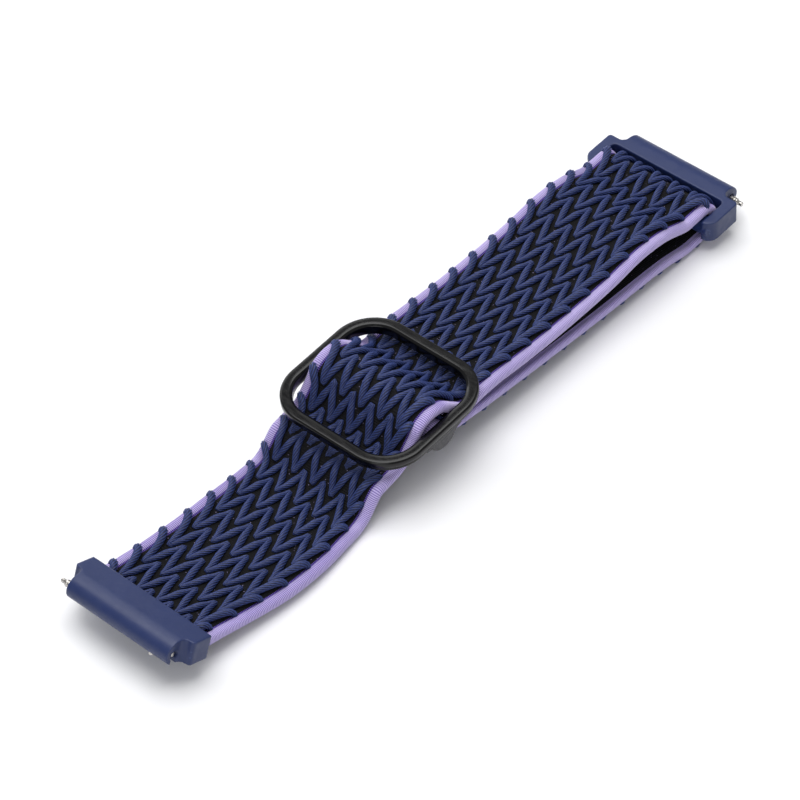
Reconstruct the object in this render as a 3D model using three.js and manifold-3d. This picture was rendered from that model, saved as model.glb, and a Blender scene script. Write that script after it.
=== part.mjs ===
// Fitness tracker band: an elastic woven strap between two moulded lug connectors, made longer or
// shorter by a tri-bar slider. The strap is one webbing. It starts in the fixed connector, dips under
// the slider's first bar, climbs over the centre bar, dips under the last bar, runs out to the loop
// connector, folds round its inner bar and comes back underneath to be sewn round the centre bar.
// Units are millimetres. +X runs from the fixed connector to the loop connector, +Z is up, and the
// origin is under the middle of the band, on the surface that it lies on.
import * as THREE from "three";
import { mergeVertices } from "three/addons/utils/BufferGeometryUtils.js";
import Module from "manifold-3d";

const wasm = await Module();
wasm.setup();

// ---------------------------------------------------------------- driving dimensions
const bandLength = 143.5; // outer end to outer end, along X
const sliderPlace = 61.7; // slider centre, from the fixed connector's outer end
const gap = 0.2; // clearance between pieces that touch

const strap = {
  width: 23.8,
  thickness: 2.4,
  sewnThickness: 1.5, // the heat-pressed end that is sewn round the centre bar
  tabThickness: 2.0, // the heat-sealed end inside the fixed connector
  twist: 5.5, // degrees that the near edge hangs below the middle, half way to the slider
  bow: -1.8, // sideways bend at the same place
};

const connector = {
  height: 4.3,
  barrelWidth: 21.8, // fits between 22 mm lugs
  notchRadius: 1.2,
  boreClearance: 0.1, // round the spring bar's tube
  boreInset: 1.8, // bore axis, from the outer end
  boreDrop: 0.6, // bore axis, below mid-height
  noseTop: [3.3, 2.5], // depth and height of the elliptical roll-off over the outer end
  leverClearance: 0.13, // on each side of the spring bar's lever
};

const fixedEnd = {
  wall: 0.75, // beside the strap
  barrelDepth: 3.5,
  depth: 7.85,
  pocketDepth: 3.3,
  cornerRadius: 0.5,
  height: 6.35, // mid-height of its middle, above the surface
  tilt: -21, // degrees, strap side down
};

const loopEnd = {
  wall: 2.1,
  barrelDepth: 4.1,
  slotStart: 5.5,
  slotClearance: 0.3, // on each side of the strap
  slotCorner: 0.8,
  barHeight: 3.4,
  cornerRadius: 2.3,
  tilt: 3, // degrees, outer end up
};

const slider = {
  length: 26.6, // along the strap
  straight: 11.2, // straight part of each side rail, which the strap climbs over
  rail: 2.1,
  height: 2.2,
  lowerStepHeight: 0.95,
  stepInset: 0.3,
  earRadius: 3.1,
  earDrop: 4.6, // lowest point of the ears, below the top face
  earFillet: 2.0,
  top: 11.65, // height of the top face's middle
  tilt: 4, // degrees, loop side up
};

const centerBar = { radius: 0.75, drop: 3.0, seat: 1.2 };

const springBar = {
  tubeRadius: 0.75,
  tubeWall: 0.2,
  tubeLength: 20.2,
  shoulderRadius: 0.62,
  shoulderLength: 0.9,
  tipRadius: 0.4,
  tipLength: 1.0,
  shift: 1.4, // how far the bar lies away from its release end, at rest
  plugLength: 2.4,
  leverPlace: 2.2, // lever, from the tube's release end
  leverRadius: 0.42,
  leverLength: 1.5,
  stemRadius: 0.18,
  leverTravel: 1.5,
  springLength: 5.0,
  springRadius: 0.36,
  wireRadius: 0.07,
  springTurns: 8,
};

const thread = { radius: 0.14, stitch: 2.0, sway: 0.4 };

// Sizes that follow from them
const degrees = Math.PI / 180;
const halfStrap = strap.width / 2;
const halfThickness = strap.thickness / 2;
const fixedWidth = strap.width + 2 * gap + 2 * fixedEnd.wall;
const loopWidth = strap.width + 2 * gap + 2 * loopEnd.wall;
const ringWidth = strap.width + 2 * gap + 2 * slider.rail;
const foldRadius = loopEnd.barHeight / 2 + gap + halfThickness;
loopEnd.slotWidth = strap.thickness + 2 * loopEnd.slotClearance;
const innerBarPlace = loopEnd.slotStart + loopEnd.slotWidth + loopEnd.barHeight / 2;
loopEnd.depth = innerBarPlace + loopEnd.barHeight / 2;
const foldReach = innerBarPlace + 3.0; // where the fold ends and the flat runs begin
slider.cornerRadius = (slider.length - slider.straight) / 2;
const shoulder = slider.straight / 2;
const sewnRadius = centerBar.radius + gap + strap.sewnThickness / 2;
const tubeHalf = springBar.tubeLength / 2;
const tubeBore = springBar.tubeRadius - springBar.tubeWall;
const plugRadius = tubeBore - 0.03;
const boreRadius = springBar.tubeRadius + connector.boreClearance;
const leverSlotWidth = 2 * (springBar.leverRadius + connector.leverClearance);

// ---------------------------------------------------------------- solids
function solid(geometry) {
  const bare = geometry.index ? geometry.toNonIndexed() : geometry.clone();
  bare.deleteAttribute("normal");
  bare.deleteAttribute("uv");
  const merged = mergeVertices(bare, 1e-4);
  return new wasm.Manifold(
    new wasm.Mesh({
      numProp: 3,
      vertProperties: merged.attributes.position.array,
      triVerts: new Uint32Array(merged.index.array),
    }),
  );
}

function geometryOf(manifold) {
  const mesh = manifold.getMesh();
  const geometry = new THREE.BufferGeometry();
  geometry.setAttribute("position", new THREE.BufferAttribute(mesh.vertProperties, 3));
  geometry.setIndex(new THREE.BufferAttribute(mesh.triVerts, 1));
  return geometry;
}

function join(first, ...others) {
  return geometryOf(others.reduce((sum, next) => sum.add(solid(next)), solid(first)));
}

function cut(first, ...tools) {
  return geometryOf(tools.reduce((rest, tool) => rest.subtract(solid(tool)), solid(first)));
}

function common(first, second) {
  return geometryOf(solid(first).intersect(solid(second)));
}

function box(lengthX, widthY, heightZ, x, y, z) {
  return new THREE.BoxGeometry(lengthX, widthY, heightZ).translate(x, y, z);
}

// A round bar along Y, from y0 to y1.
function barAlongY(radius, y0, y1, x = 0, z = 0, sides = 24) {
  return new THREE.CylinderGeometry(radius, radius, y1 - y0, sides).translate(x, (y0 + y1) / 2, z);
}

// An outline in X and Z, made `width` wide along Y and centred on y.
function plate(outline, width, y = 0, bevel = 0, curveSegments = 10) {
  const geometry = new THREE.ExtrudeGeometry(outline, {
    depth: width - 2 * bevel,
    bevelEnabled: bevel > 0,
    bevelThickness: bevel,
    bevelSize: bevel,
    bevelOffset: -bevel,
    bevelSegments: 2,
    curveSegments,
  });
  return geometry.rotateX(Math.PI / 2).translate(0, y + width / 2 - bevel, 0);
}

// An outline in X and Y, made `height` tall from z upwards.
function slab(outline, height, z, bevel = 0, curveSegments = 7) {
  const geometry = new THREE.ExtrudeGeometry(outline, {
    depth: height - 2 * bevel,
    bevelEnabled: bevel > 0,
    bevelThickness: bevel,
    bevelSize: bevel,
    bevelOffset: -bevel,
    bevelSegments: 2,
    curveSegments,
  });
  return geometry.translate(0, 0, z + bevel);
}

function roundedRectangle(lengthX, widthY, radius, Kind = THREE.Shape) {
  const x = lengthX / 2 - radius;
  const y = widthY / 2 - radius;
  const outline = new Kind();
  outline.absarc(x, y, radius, 0, Math.PI / 2);
  outline.absarc(-x, y, radius, Math.PI / 2, Math.PI);
  outline.absarc(-x, -y, radius, Math.PI, 1.5 * Math.PI);
  outline.absarc(x, -y, radius, 1.5 * Math.PI, 2 * Math.PI);
  return outline;
}

// A length of webbing: a long box, one unit long and thick, bent onto a smooth path through points
// of X and Z. `thicknessAt` gives the thickness at a share of the way along.
function webbing(points, thicknessAt, step = 1.4, width = strap.width) {
  const path = new THREE.CatmullRomCurve3(points.map((p) => new THREE.Vector3(p.x, p.y, 0)));
  const steps = Math.ceil(path.getLength() / step);
  const geometry = new THREE.BoxGeometry(1, width, 1, steps, 1, 1);
  const place = geometry.attributes.position;
  for (let i = 0; i < place.count; i++) {
    const share = Math.round((place.getX(i) + 0.5) * steps) / steps;
    const up = place.getZ(i) * thicknessAt(share);
    const centre = path.getPointAt(share);
    const along = path.getTangentAt(share);
    place.setX(i, centre.x - along.y * up);
    place.setZ(i, centre.y + along.x * up);
  }
  return geometry;
}

const fullThickness = () => strap.thickness;

// ---------------------------------------------------------------- where the rigid pieces lie
// Each pose turns about Y and moves in X and Z. `at` gives the place of a point of the piece's own
// frame, whose first number runs along the piece and whose second is its height.
function pose(x, z, tilt, turned = false) {
  const angle = tilt * degrees;
  const flip = turned ? -1 : 1;
  const at = (along, up) =>
    new THREE.Vector2(
      x + flip * along * Math.cos(angle) - up * Math.sin(angle),
      z + flip * along * Math.sin(angle) + up * Math.cos(angle),
    );
  const frame = new THREE.Group();
  frame.position.set(x, 0, z);
  frame.rotation.set(0, -angle, 0);
  const inner = new THREE.Group();
  inner.rotation.z = turned ? Math.PI : 0;
  frame.add(inner);
  return { at, frame, inner };
}

const fixedMiddle = fixedEnd.depth / 2;
const fixedPose = pose(
  fixedMiddle - fixedMiddle * Math.cos(fixedEnd.tilt * degrees),
  fixedEnd.height - fixedMiddle * Math.sin(fixedEnd.tilt * degrees),
  fixedEnd.tilt,
);
const sliderPose = pose(sliderPlace, slider.top, slider.tilt);
const loopPose = pose(
  bandLength,
  foldRadius + halfThickness + foldReach * Math.sin(loopEnd.tilt * degrees) + 0.07,
  loopEnd.tilt,
  true,
);

// ---------------------------------------------------------------- connectors
// Both connectors share one plan: a narrow barrel between the lugs and a wider block that holds
// the strap, with a hollow fillet in the notch between them. x runs from the outer end inwards.
function connectorPlan(width, end) {
  const barrel = connector.barrelWidth / 2;
  const block = width / 2;
  const r = connector.notchRadius;
  const outer = Math.min(0.6, (block - barrel - r) / 2 + 0.3);
  const c = end.cornerRadius;
  const outline = new THREE.Shape();
  outline.moveTo(0, -barrel);
  outline.lineTo(end.barrelDepth - r, -barrel);
  if (block - barrel > r + outer) {
    outline.absarc(end.barrelDepth - r, -barrel - r, r, Math.PI / 2, 0, true);
  }
  outline.lineTo(end.barrelDepth, -block + outer);
  outline.absarc(end.barrelDepth + outer, -block + outer, outer, Math.PI, 1.5 * Math.PI);
  outline.absarc(end.depth - c, -block + c, c, 1.5 * Math.PI, 2 * Math.PI);
  outline.absarc(end.depth - c, block - c, c, 0, Math.PI / 2);
  outline.absarc(end.barrelDepth + outer, block - outer, outer, Math.PI / 2, Math.PI);
  if (block - barrel > r + outer) {
    outline.lineTo(end.barrelDepth, barrel + r);
    outline.absarc(end.barrelDepth - r, barrel + r, r, 0, -Math.PI / 2, true);
  } else {
    outline.lineTo(end.barrelDepth, barrel);
  }
  outline.lineTo(0, barrel);
  return outline;
}

// The side view: flat top and bottom, a long elliptical roll-off over the outer end.
function connectorSide(end) {
  const top = connector.height / 2;
  const [noseDepth, noseHeight] = connector.noseTop;
  const underHeight = connector.height - noseHeight;
  const underDepth = 1.5;
  const softening = 0.4;
  const outline = new THREE.Shape();
  outline.absarc(end.depth - softening, top - softening, softening, 0, Math.PI / 2);
  outline.absellipse(noseDepth, top - noseHeight, noseDepth, noseHeight, Math.PI / 2, Math.PI);
  outline.absellipse(underDepth, top - noseHeight, underDepth, underHeight, Math.PI, 1.5 * Math.PI);
  outline.absarc(end.depth - softening, softening - top, softening, -Math.PI / 2, 0);
  return outline;
}

function connectorBody(width, end) {
  const tall = slab(connectorPlan(width, end), connector.height + 1, -connector.height / 2 - 0.5);
  const body = common(tall, plate(connectorSide(end), width + 1));
  const bore = barAlongY(
    boreRadius,
    -connector.barrelWidth,
    connector.barrelWidth,
    connector.boreInset,
    -connector.boreDrop,
  );
  // The lever's slot opens the bore downwards at the release end.
  const barEnd = -tubeHalf + springBar.shift;
  const deepest = barEnd + springBar.leverPlace + springBar.leverRadius + springBar.leverTravel;
  const slotLength = connector.barrelWidth / 2 + 1 + deepest + gap;
  const slot = box(
    leverSlotWidth,
    slotLength,
    connector.height,
    connector.boreInset,
    -connector.barrelWidth / 2 - 1 + slotLength / 2,
    -connector.boreDrop - connector.height / 2,
  );
  return cut(body, bore, slot);
}

function fixedConnector() {
  const pocketHeight = strap.thickness + 2 * gap;
  const pocket = box(
    fixedEnd.pocketDepth * 2,
    strap.width + 2 * gap,
    pocketHeight,
    fixedEnd.depth,
    0,
    0,
  );
  return cut(connectorBody(fixedWidth, fixedEnd), pocket);
}

function loopConnector() {
  const opening = strap.width + 2 * gap;
  const slotEnd = loopEnd.slotWidth / 2;
  const slot = slab(
    roundedRectangle(loopEnd.slotWidth, opening, loopEnd.slotCorner),
    connector.height + 2,
    -connector.height / 2 - 1,
  ).translate(loopEnd.slotStart + slotEnd, 0, 0);
  // The strap's side of the slot is cut away round the inner bar, with the strap above and below.
  const barStart = loopEnd.slotStart + loopEnd.slotWidth;
  const barDepth = loopEnd.depth - barStart;
  const clearance = box(
    barDepth + slotEnd + 2,
    opening,
    connector.height + 2,
    barStart + (barDepth + 2 - slotEnd) / 2,
    0,
    0,
  );
  // The bar is round, so the connector swings inside the strap's fold.
  const reach = (opening + loopEnd.wall) / 2;
  const bar = barAlongY(loopEnd.barHeight / 2, -reach, reach, innerBarPlace, 0, 32);
  return join(cut(connectorBody(loopWidth, loopEnd), slot, clearance), bar);
}

// ---------------------------------------------------------------- spring bars
// A quick-release spring bar lies along Y in the connector's bore, its release end towards -Y.
// y is measured from the tube's middle.
function tipProfile(plug, shoulderRadius) {
  const { shoulderLength, tipRadius, tipLength } = springBar;
  const chamfer = 0.12;
  return [
    [0, -plug],
    [plugRadius, -plug],
    [plugRadius, gap / 2],
    [shoulderRadius, gap / 2],
    [shoulderRadius, shoulderLength - chamfer],
    [shoulderRadius - chamfer, shoulderLength],
    [tipRadius, shoulderLength],
    [tipRadius, shoulderLength + tipLength - chamfer],
    [tipRadius - chamfer, shoulderLength + tipLength],
    [0, shoulderLength + tipLength],
  ];
}

function tip(plug, shoulderRadius) {
  const rows = tipProfile(plug, shoulderRadius);
  const profile = rows.map(([radius, y]) => new THREE.Vector2(radius, y));
  return new THREE.LatheGeometry(profile, 16);
}

function fixedTip() {
  return tip(springBar.plugLength, springBar.shoulderRadius).translate(0, tubeHalf, 0);
}

function releaseTip() {
  const plug = springBar.leverPlace + springBar.leverRadius + 0.4;
  // Its shoulder is as slim as its plug, so that all of it can be drawn into the tube.
  const plunger = tip(plug, plugRadius).rotateZ(Math.PI).translate(0, -tubeHalf, 0);
  const stemHole = new THREE.CylinderGeometry(
    springBar.stemRadius + 0.03,
    springBar.stemRadius + 0.03,
    2 * springBar.tubeRadius,
    12,
  )
    .rotateX(Math.PI / 2)
    .translate(0, -tubeHalf + springBar.leverPlace, -springBar.tubeRadius);
  return cut(plunger, stemHole);
}

function springBarTube() {
  const outer = barAlongY(springBar.tubeRadius, -tubeHalf, tubeHalf);
  const inner = barAlongY(tubeBore, -tubeHalf - 1, tubeHalf + 1);
  const slotWidth = 2 * springBar.stemRadius + 0.14;
  const slotStart = -tubeHalf + springBar.leverPlace - springBar.stemRadius - 0.1;
  const slotLength = 2 * springBar.stemRadius + springBar.leverTravel + 0.2;
  const slot = box(
    slotWidth,
    slotLength,
    2 * springBar.tubeRadius,
    0,
    slotStart + slotLength / 2,
    -springBar.tubeRadius,
  );
  return cut(outer, inner, slot);
}

function lever() {
  const head = boreRadius;
  const stemTop = -0.08;
  const profile = [
    [0, -head - springBar.leverLength],
    [springBar.leverRadius - 0.1, -head - springBar.leverLength],
    [springBar.leverRadius, -head - springBar.leverLength + 0.1],
    [springBar.leverRadius, -head],
    [springBar.stemRadius, -head],
    [springBar.stemRadius, stemTop],
    [0, stemTop],
  ].map(([radius, z]) => new THREE.Vector2(radius, z));
  return new THREE.LatheGeometry(profile, 16)
    .rotateX(Math.PI / 2)
    .translate(0, -tubeHalf + springBar.leverPlace, 0);
}

class Helix extends THREE.Curve {
  constructor(radius, length, turns) {
    super();
    Object.assign(this, { radius, length, turns });
  }
  getPoint(share, target = new THREE.Vector3()) {
    const angle = 2 * Math.PI * this.turns * share;
    return target.set(
      this.radius * Math.cos(angle),
      this.length * share,
      this.radius * Math.sin(angle),
    );
  }
}

function coilSpring() {
  const { springRadius, springLength, springTurns, wireRadius } = springBar;
  const wire = new THREE.Shape();
  wire.absarc(0, 0, wireRadius, 0, 2 * Math.PI);
  const start = -tubeHalf + springBar.leverPlace + springBar.leverRadius + 0.4 + gap;
  return new THREE.ExtrudeGeometry(wire, {
    extrudePath: new Helix(springRadius, springLength, springTurns),
    steps: springTurns * 9,
    curveSegments: 3,
    bevelEnabled: false,
  }).translate(0, start, 0);
}

// ---------------------------------------------------------------- slider
function sliderFrame() {
  const ring = (inset, height, z, bevel) => {
    const outline = roundedRectangle(
      slider.length - 2 * inset,
      ringWidth - 2 * inset,
      slider.cornerRadius - inset,
    );
    outline.holes.push(
      roundedRectangle(
        slider.length - 2 * slider.rail,
        ringWidth - 2 * slider.rail,
        slider.cornerRadius - slider.rail,
        THREE.Path,
      ),
    );
    return slab(outline, height, z, bevel);
  };
  const overlap = 0.2;
  const upperHeight = slider.height - slider.lowerStepHeight;
  const upper = ring(0, upperHeight, -upperHeight, 0.4);
  const lower = ring(slider.stepInset, slider.lowerStepHeight + overlap, -slider.height, 0.3);
  // The lower step's inner wall is drawn in by its bevel only, so both rings share one opening.
  return join(upper, lower, sliderEar(1), sliderEar(-1));
}

// An ear hangs below the middle of each side rail and holds one end of the centre bar.
function sliderEar(side) {
  const { earRadius, earDrop, earFillet } = slider;
  const underside = -slider.height;
  const centre = earRadius - earDrop;
  const filletZ = underside - earFillet;
  const reach = earRadius + earFillet;
  const filletX = Math.sqrt(reach ** 2 - (filletZ - centre) ** 2);
  const turn = Math.atan2(centre - filletZ, filletX);
  const embed = 0.5;
  const outline = new THREE.Shape();
  outline.moveTo(filletX, underside + embed);
  outline.lineTo(-filletX, underside + embed);
  outline.absarc(-filletX, filletZ, earFillet, Math.PI / 2, turn, true);
  outline.absarc(0, centre, earRadius, Math.PI + turn, 2 * Math.PI - turn);
  outline.absarc(filletX, filletZ, earFillet, Math.PI - turn, Math.PI / 2, true);
  const thickness = slider.rail - slider.stepInset;
  const inner = ringWidth / 2 - slider.rail;
  const y = side * (inner + thickness / 2);
  const seat = barAlongY(
    centerBar.radius + 0.05,
    side > 0 ? inner - 1 : -inner - centerBar.seat,
    side > 0 ? inner + centerBar.seat : -inner + 1,
    0,
    -centerBar.drop,
  );
  return cut(plate(outline, thickness, y, 0.25, 6), seat);
}

function sliderCenterBar() {
  const end = ringWidth / 2 - slider.rail + centerBar.seat - 0.1;
  return barAlongY(centerBar.radius, -end, end, 0, -centerBar.drop, 20);
}

// ---------------------------------------------------------------- strap
// Half way to the slider the strap hangs twisted and bowed: `lay` bends a straight run that way,
// fading to nothing at both ends of the run.
function lay(geometry, start, end) {
  const place = geometry.attributes.position;
  for (let i = 0; i < place.count; i++) {
    const share = THREE.MathUtils.clamp((place.getX(i) - start) / (end - start), 0, 1);
    const swell = Math.sin(Math.PI * share) ** 2;
    const drop = place.getY(i) * Math.tan(strap.twist * degrees) * swell;
    place.setY(i, place.getY(i) + strap.bow * swell);
    place.setZ(i, place.getZ(i) + drop);
  }
  return geometry;
}

function between(start, end, share, rise) {
  return new THREE.Vector2().lerpVectors(start, end, share).add(new THREE.Vector2(0, rise));
}

const underRail = halfThickness + gap + slider.height; // middle of the strap, below the top face
const railPlace = (slider.length - slider.rail) / 2;
const firstBar = sliderPose.at(-railPlace, -underRail - 1.2);
const lastBar = sliderPose.at(railPlace, -underRail - 0.2);
const descent = railPlace - shoulder; // along the strap, from the shoulder to a bar's middle
const crestRise = sliderPose.at(-shoulder - 0.36 * descent, -underRail - 0.4);
const tabEnd = fixedEnd.depth - fixedEnd.pocketDepth + strap.tabThickness;
const foldTop = loopPose.at(foldReach, foldRadius);
const foldUnder = loopPose.at(foldReach, -foldRadius);

function strapEndTab() {
  const depth = tabEnd - gap - (fixedEnd.depth - fixedEnd.pocketDepth) - gap;
  const middle = fixedEnd.depth - fixedEnd.pocketDepth + gap + depth / 2;
  return box(depth, strap.width - gap, strap.tabThickness, middle, 0, 0);
}

function strapLeftRun() {
  // Height of the strap's middle where its twisted near edge just touches the surface.
  const resting = halfStrap * Math.tan(strap.twist * degrees) + halfThickness + 0.05;
  const start = fixedPose.at(tabEnd, 0);
  const mouth = fixedPose.at(fixedEnd.depth + 1, 0);
  const span = firstBar.x - mouth.x;
  const point = (share, rise) => new THREE.Vector2(mouth.x + share * span, resting + rise);
  const path = [
    start,
    mouth,
    point(0.16, 1.16),
    point(0.32, 1.0),
    point(0.53, 0.9),
    point(0.72, 0),
    point(0.86, -0.2),
    between(firstBar, crestRise, -0.35, 0), // in line with the crest's start
    firstBar,
  ];
  return lay(webbing(path, fullThickness), mouth.x, firstBar.x);
}

function strapCrest() {
  const start = between(firstBar, crestRise, gap / firstBar.distanceTo(crestRise), 0);
  // Each underside is the height of the crest's lower face, above the slider's top face.
  const over = (along, underside) => sliderPose.at(along, underside + halfThickness);
  const path = [
    start,
    crestRise,
    over(-shoulder + 0.7, -2.5),
    over(-0.5 * shoulder, -0.2),
    over(0, 0.5),
    over(0.5 * shoulder, -0.2),
    over(shoulder - 0.25, -2.45),
    sliderPose.at(shoulder + 0.39 * descent, -underRail - 0.1),
    lastBar,
  ];
  const squeezedWidth = strap.width - 4 * gap; // the ring's rounded corners press its edges in
  return webbing(path, fullThickness, 1.4, squeezedWidth);
}

function strapTopRun() {
  const start = lastBar.clone().add(new THREE.Vector2(gap, 0));
  const path = [
    start,
    between(lastBar, foldTop, 0.06, 0.25),
    between(lastBar, foldTop, 0.2, -0.1),
    between(lastBar, foldTop, 0.35, -0.1),
    between(lastBar, foldTop, 0.5, 0.25),
    between(lastBar, foldTop, 0.62, 0.85),
    between(lastBar, foldTop, 0.74, 1.9),
    between(lastBar, foldTop, 0.86, 1.6),
    loopPose.at(foldReach + 1.6, foldRadius + 0.05),
    loopPose.at(foldReach + gap, foldRadius),
  ];
  return webbing(path, fullThickness);
}

function strapFold() {
  const path = [foldTop, loopPose.at(innerBarPlace + 1.5, foldRadius)];
  const arcSteps = 8;
  for (let i = 0; i <= arcSteps; i++) {
    const angle = Math.PI / 2 + (Math.PI * i) / arcSteps;
    path.push(
      loopPose.at(
        innerBarPlace + foldRadius * Math.cos(angle),
        foldRadius * Math.sin(angle),
      ),
    );
  }
  path.push(loopPose.at(innerBarPlace + 1.5, -foldRadius), foldUnder);
  return webbing(path, fullThickness, 0.8);
}

// Points round the centre bar, as degrees above the loop connector's side.
function roundBar(angle, extra = 0) {
  const turn = angle * degrees;
  const reach = sewnRadius + extra;
  return sliderPose.at(reach * Math.cos(turn), reach * Math.sin(turn) - centerBar.drop);
}

const sewnStart = roundBar(-90);
const sewnFlat = 3.4; // where the sewn end leaves the bar and lies flat
const sewnBend = sliderPose.at(sewnFlat, -centerBar.drop - 0.75);
const sewnEnd = sliderPose.at(sewnFlat + 0.286 * descent, -centerBar.drop - 1.12);
const underCrest = -underRail - strap.thickness; // where a strap would touch the crest's ends
const lowerBend = sliderPose.at(13.5, underCrest - 1.4);

function strapLowerRun() {
  const start = sewnStart.clone().add(new THREE.Vector2(gap, 0));
  const path = [
    start,
    roundBar(-72, 0.25),
    sliderPose.at(4.6, underCrest + 0.1),
    sliderPose.at(8.4, underCrest - 0.55),
    lowerBend,
    between(lowerBend, foldUnder, 0.25, -0.1),
    between(lowerBend, foldUnder, 0.55, 0),
    between(lowerBend, foldUnder, 0.85, 0.4),
    loopPose.at(foldReach + 1.6, -foldRadius + 0.03),
    loopPose.at(foldReach + gap, -foldRadius),
  ];
  const thicken = (share) =>
    THREE.MathUtils.lerp(
      strap.sewnThickness,
      strap.thickness,
      THREE.MathUtils.smoothstep(share, 0, 0.16),
    );
  return webbing(path, thicken, 1.2);
}

function strapSewnLoop() {
  const path = [];
  for (let angle = -90; angle >= -270; angle -= 22.5) {
    path.push(roundBar(angle));
  }
  path.push(roundBar(-305, 0.15), sewnBend, between(sewnBend, sewnEnd, 0.5, 0), sewnEnd);
  return webbing(path, () => strap.sewnThickness, 0.7);
}

// One row of zigzag stitches across the sewn end, lying on its upper face.
function seam(share) {
  const upper = strap.sewnThickness / 2 + thread.radius + 0.08;
  const lift = sliderPose.at(0, upper).sub(sliderPose.at(0, 0));
  const from = sewnBend.clone().add(lift);
  const to = sewnEnd.clone().add(lift);
  const along = new THREE.Vector2().subVectors(to, from).normalize();
  const middle = new THREE.Vector2().lerpVectors(from, to, share);
  const rows = Math.floor((strap.width - 2) / thread.stitch);
  const points = [];
  for (let i = 0; i <= rows; i++) {
    const sway = (i % 2 ? 0.5 : -0.5) * thread.sway;
    const y = (i - rows / 2) * thread.stitch;
    points.push(new THREE.Vector3(middle.x + along.x * sway, y, middle.y + along.y * sway));
  }
  const section = new THREE.Shape();
  section.absarc(0, 0, thread.radius, 0, 2 * Math.PI);
  return new THREE.ExtrudeGeometry(section, {
    extrudePath: new THREE.CatmullRomCurve3(points),
    steps: rows * 4,
    curveSegments: 3,
    bevelEnabled: false,
  });
}

// ---------------------------------------------------------------- materials
function material(color, roughness, metalness = 0) {
  return () => new THREE.MeshStandardMaterial({ color, roughness, metalness });
}

const bluePlastic = material(0x38446a, 0.45);
const blackMetal = material(0x1b1b1d, 0.3, 0.6);
const steel = material(0xc9c6c0, 0.25, 1);
const wovenNylon = material(0x2c3a6b, 0.85);
const lavenderThread = material(0xb9abdc, 0.8);

function piece(name, geometry, finish) {
  const mesh = new THREE.Mesh(geometry, finish());
  mesh.name = name;
  return mesh;
}

// ---------------------------------------------------------------- assembly
function springBarPieces(name) {
  const bar = new THREE.Group();
  bar.position.set(connector.boreInset, springBar.shift, -connector.boreDrop);
  bar.add(
    piece(name + "_tube", springBarTube(), steel),
    piece(name + "_fixed_tip", fixedTip(), steel),
    piece(name + "_release_tip", releaseTip(), steel),
    piece(name + "_release_lever", lever(), steel),
    piece(name + "_spring", coilSpring(), steel),
  );
  return bar;
}

fixedPose.inner.add(
  piece("fixed_connector", fixedConnector(), bluePlastic),
  piece("strap_end_tab", strapEndTab(), wovenNylon),
  springBarPieces("fixed_bar"),
);

loopPose.inner.add(
  piece("loop_connector", loopConnector(), bluePlastic),
  springBarPieces("loop_bar"),
);

sliderPose.inner.add(
  piece("slider_frame", sliderFrame(), blackMetal),
  piece("slider_center_bar", sliderCenterBar(), steel),
);

const group = new THREE.Group();
group.position.x = -bandLength / 2;
group.add(
  fixedPose.frame,
  loopPose.frame,
  sliderPose.frame,
  piece("strap_left_run", strapLeftRun(), wovenNylon),
  piece("strap_crest", strapCrest(), wovenNylon),
  piece("strap_top_run", strapTopRun(), wovenNylon),
  piece("strap_fold", strapFold(), wovenNylon),
  piece("strap_lower_run", strapLowerRun(), wovenNylon),
  piece("strap_sewn_loop", strapSewnLoop(), wovenNylon),
  piece("sewn_seam_inner", seam(0.4), lavenderThread),
  piece("sewn_seam_outer", seam(0.8), lavenderThread),
);

export default group;
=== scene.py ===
"""Looks for the woven tracker band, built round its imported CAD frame.

Lengths in the code are millimetres, turned to metres where a mesh is made. The strap is one
webbing laid along one route, so its base, edge bindings and braided cords are all made in the
strap's own coordinates: along it, across it, and up from the middle of its thickness.
"""

import math

import bpy
import numpy as np
from mathutils import Matrix, Vector


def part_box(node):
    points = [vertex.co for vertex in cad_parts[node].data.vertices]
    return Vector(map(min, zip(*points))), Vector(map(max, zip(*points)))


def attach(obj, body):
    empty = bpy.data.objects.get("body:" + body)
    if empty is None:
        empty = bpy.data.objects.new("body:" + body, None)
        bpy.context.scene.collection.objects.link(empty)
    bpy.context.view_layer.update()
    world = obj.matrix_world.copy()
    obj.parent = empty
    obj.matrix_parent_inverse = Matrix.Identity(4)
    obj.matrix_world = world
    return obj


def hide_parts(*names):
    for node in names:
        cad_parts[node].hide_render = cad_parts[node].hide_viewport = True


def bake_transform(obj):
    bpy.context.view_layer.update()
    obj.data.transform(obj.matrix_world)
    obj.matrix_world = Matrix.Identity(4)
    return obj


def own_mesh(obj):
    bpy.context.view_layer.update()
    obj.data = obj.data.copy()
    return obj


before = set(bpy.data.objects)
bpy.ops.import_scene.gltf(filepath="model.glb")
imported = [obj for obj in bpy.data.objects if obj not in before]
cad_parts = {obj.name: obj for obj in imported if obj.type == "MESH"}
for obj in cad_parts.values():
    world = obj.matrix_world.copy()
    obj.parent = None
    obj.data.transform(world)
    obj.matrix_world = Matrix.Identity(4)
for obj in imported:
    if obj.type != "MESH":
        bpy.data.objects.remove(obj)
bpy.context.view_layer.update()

MM = 0.001

# ---------------------------------------------------------------- sizes
STRAP_WIDTH = 23.8
STRAP_THICKNESS = 2.4
SEWN_THICKNESS = 1.5
GAP = 0.2
TWIST = math.radians(5.5)
BOW = -1.8
HALF = STRAP_WIDTH / 2

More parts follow.
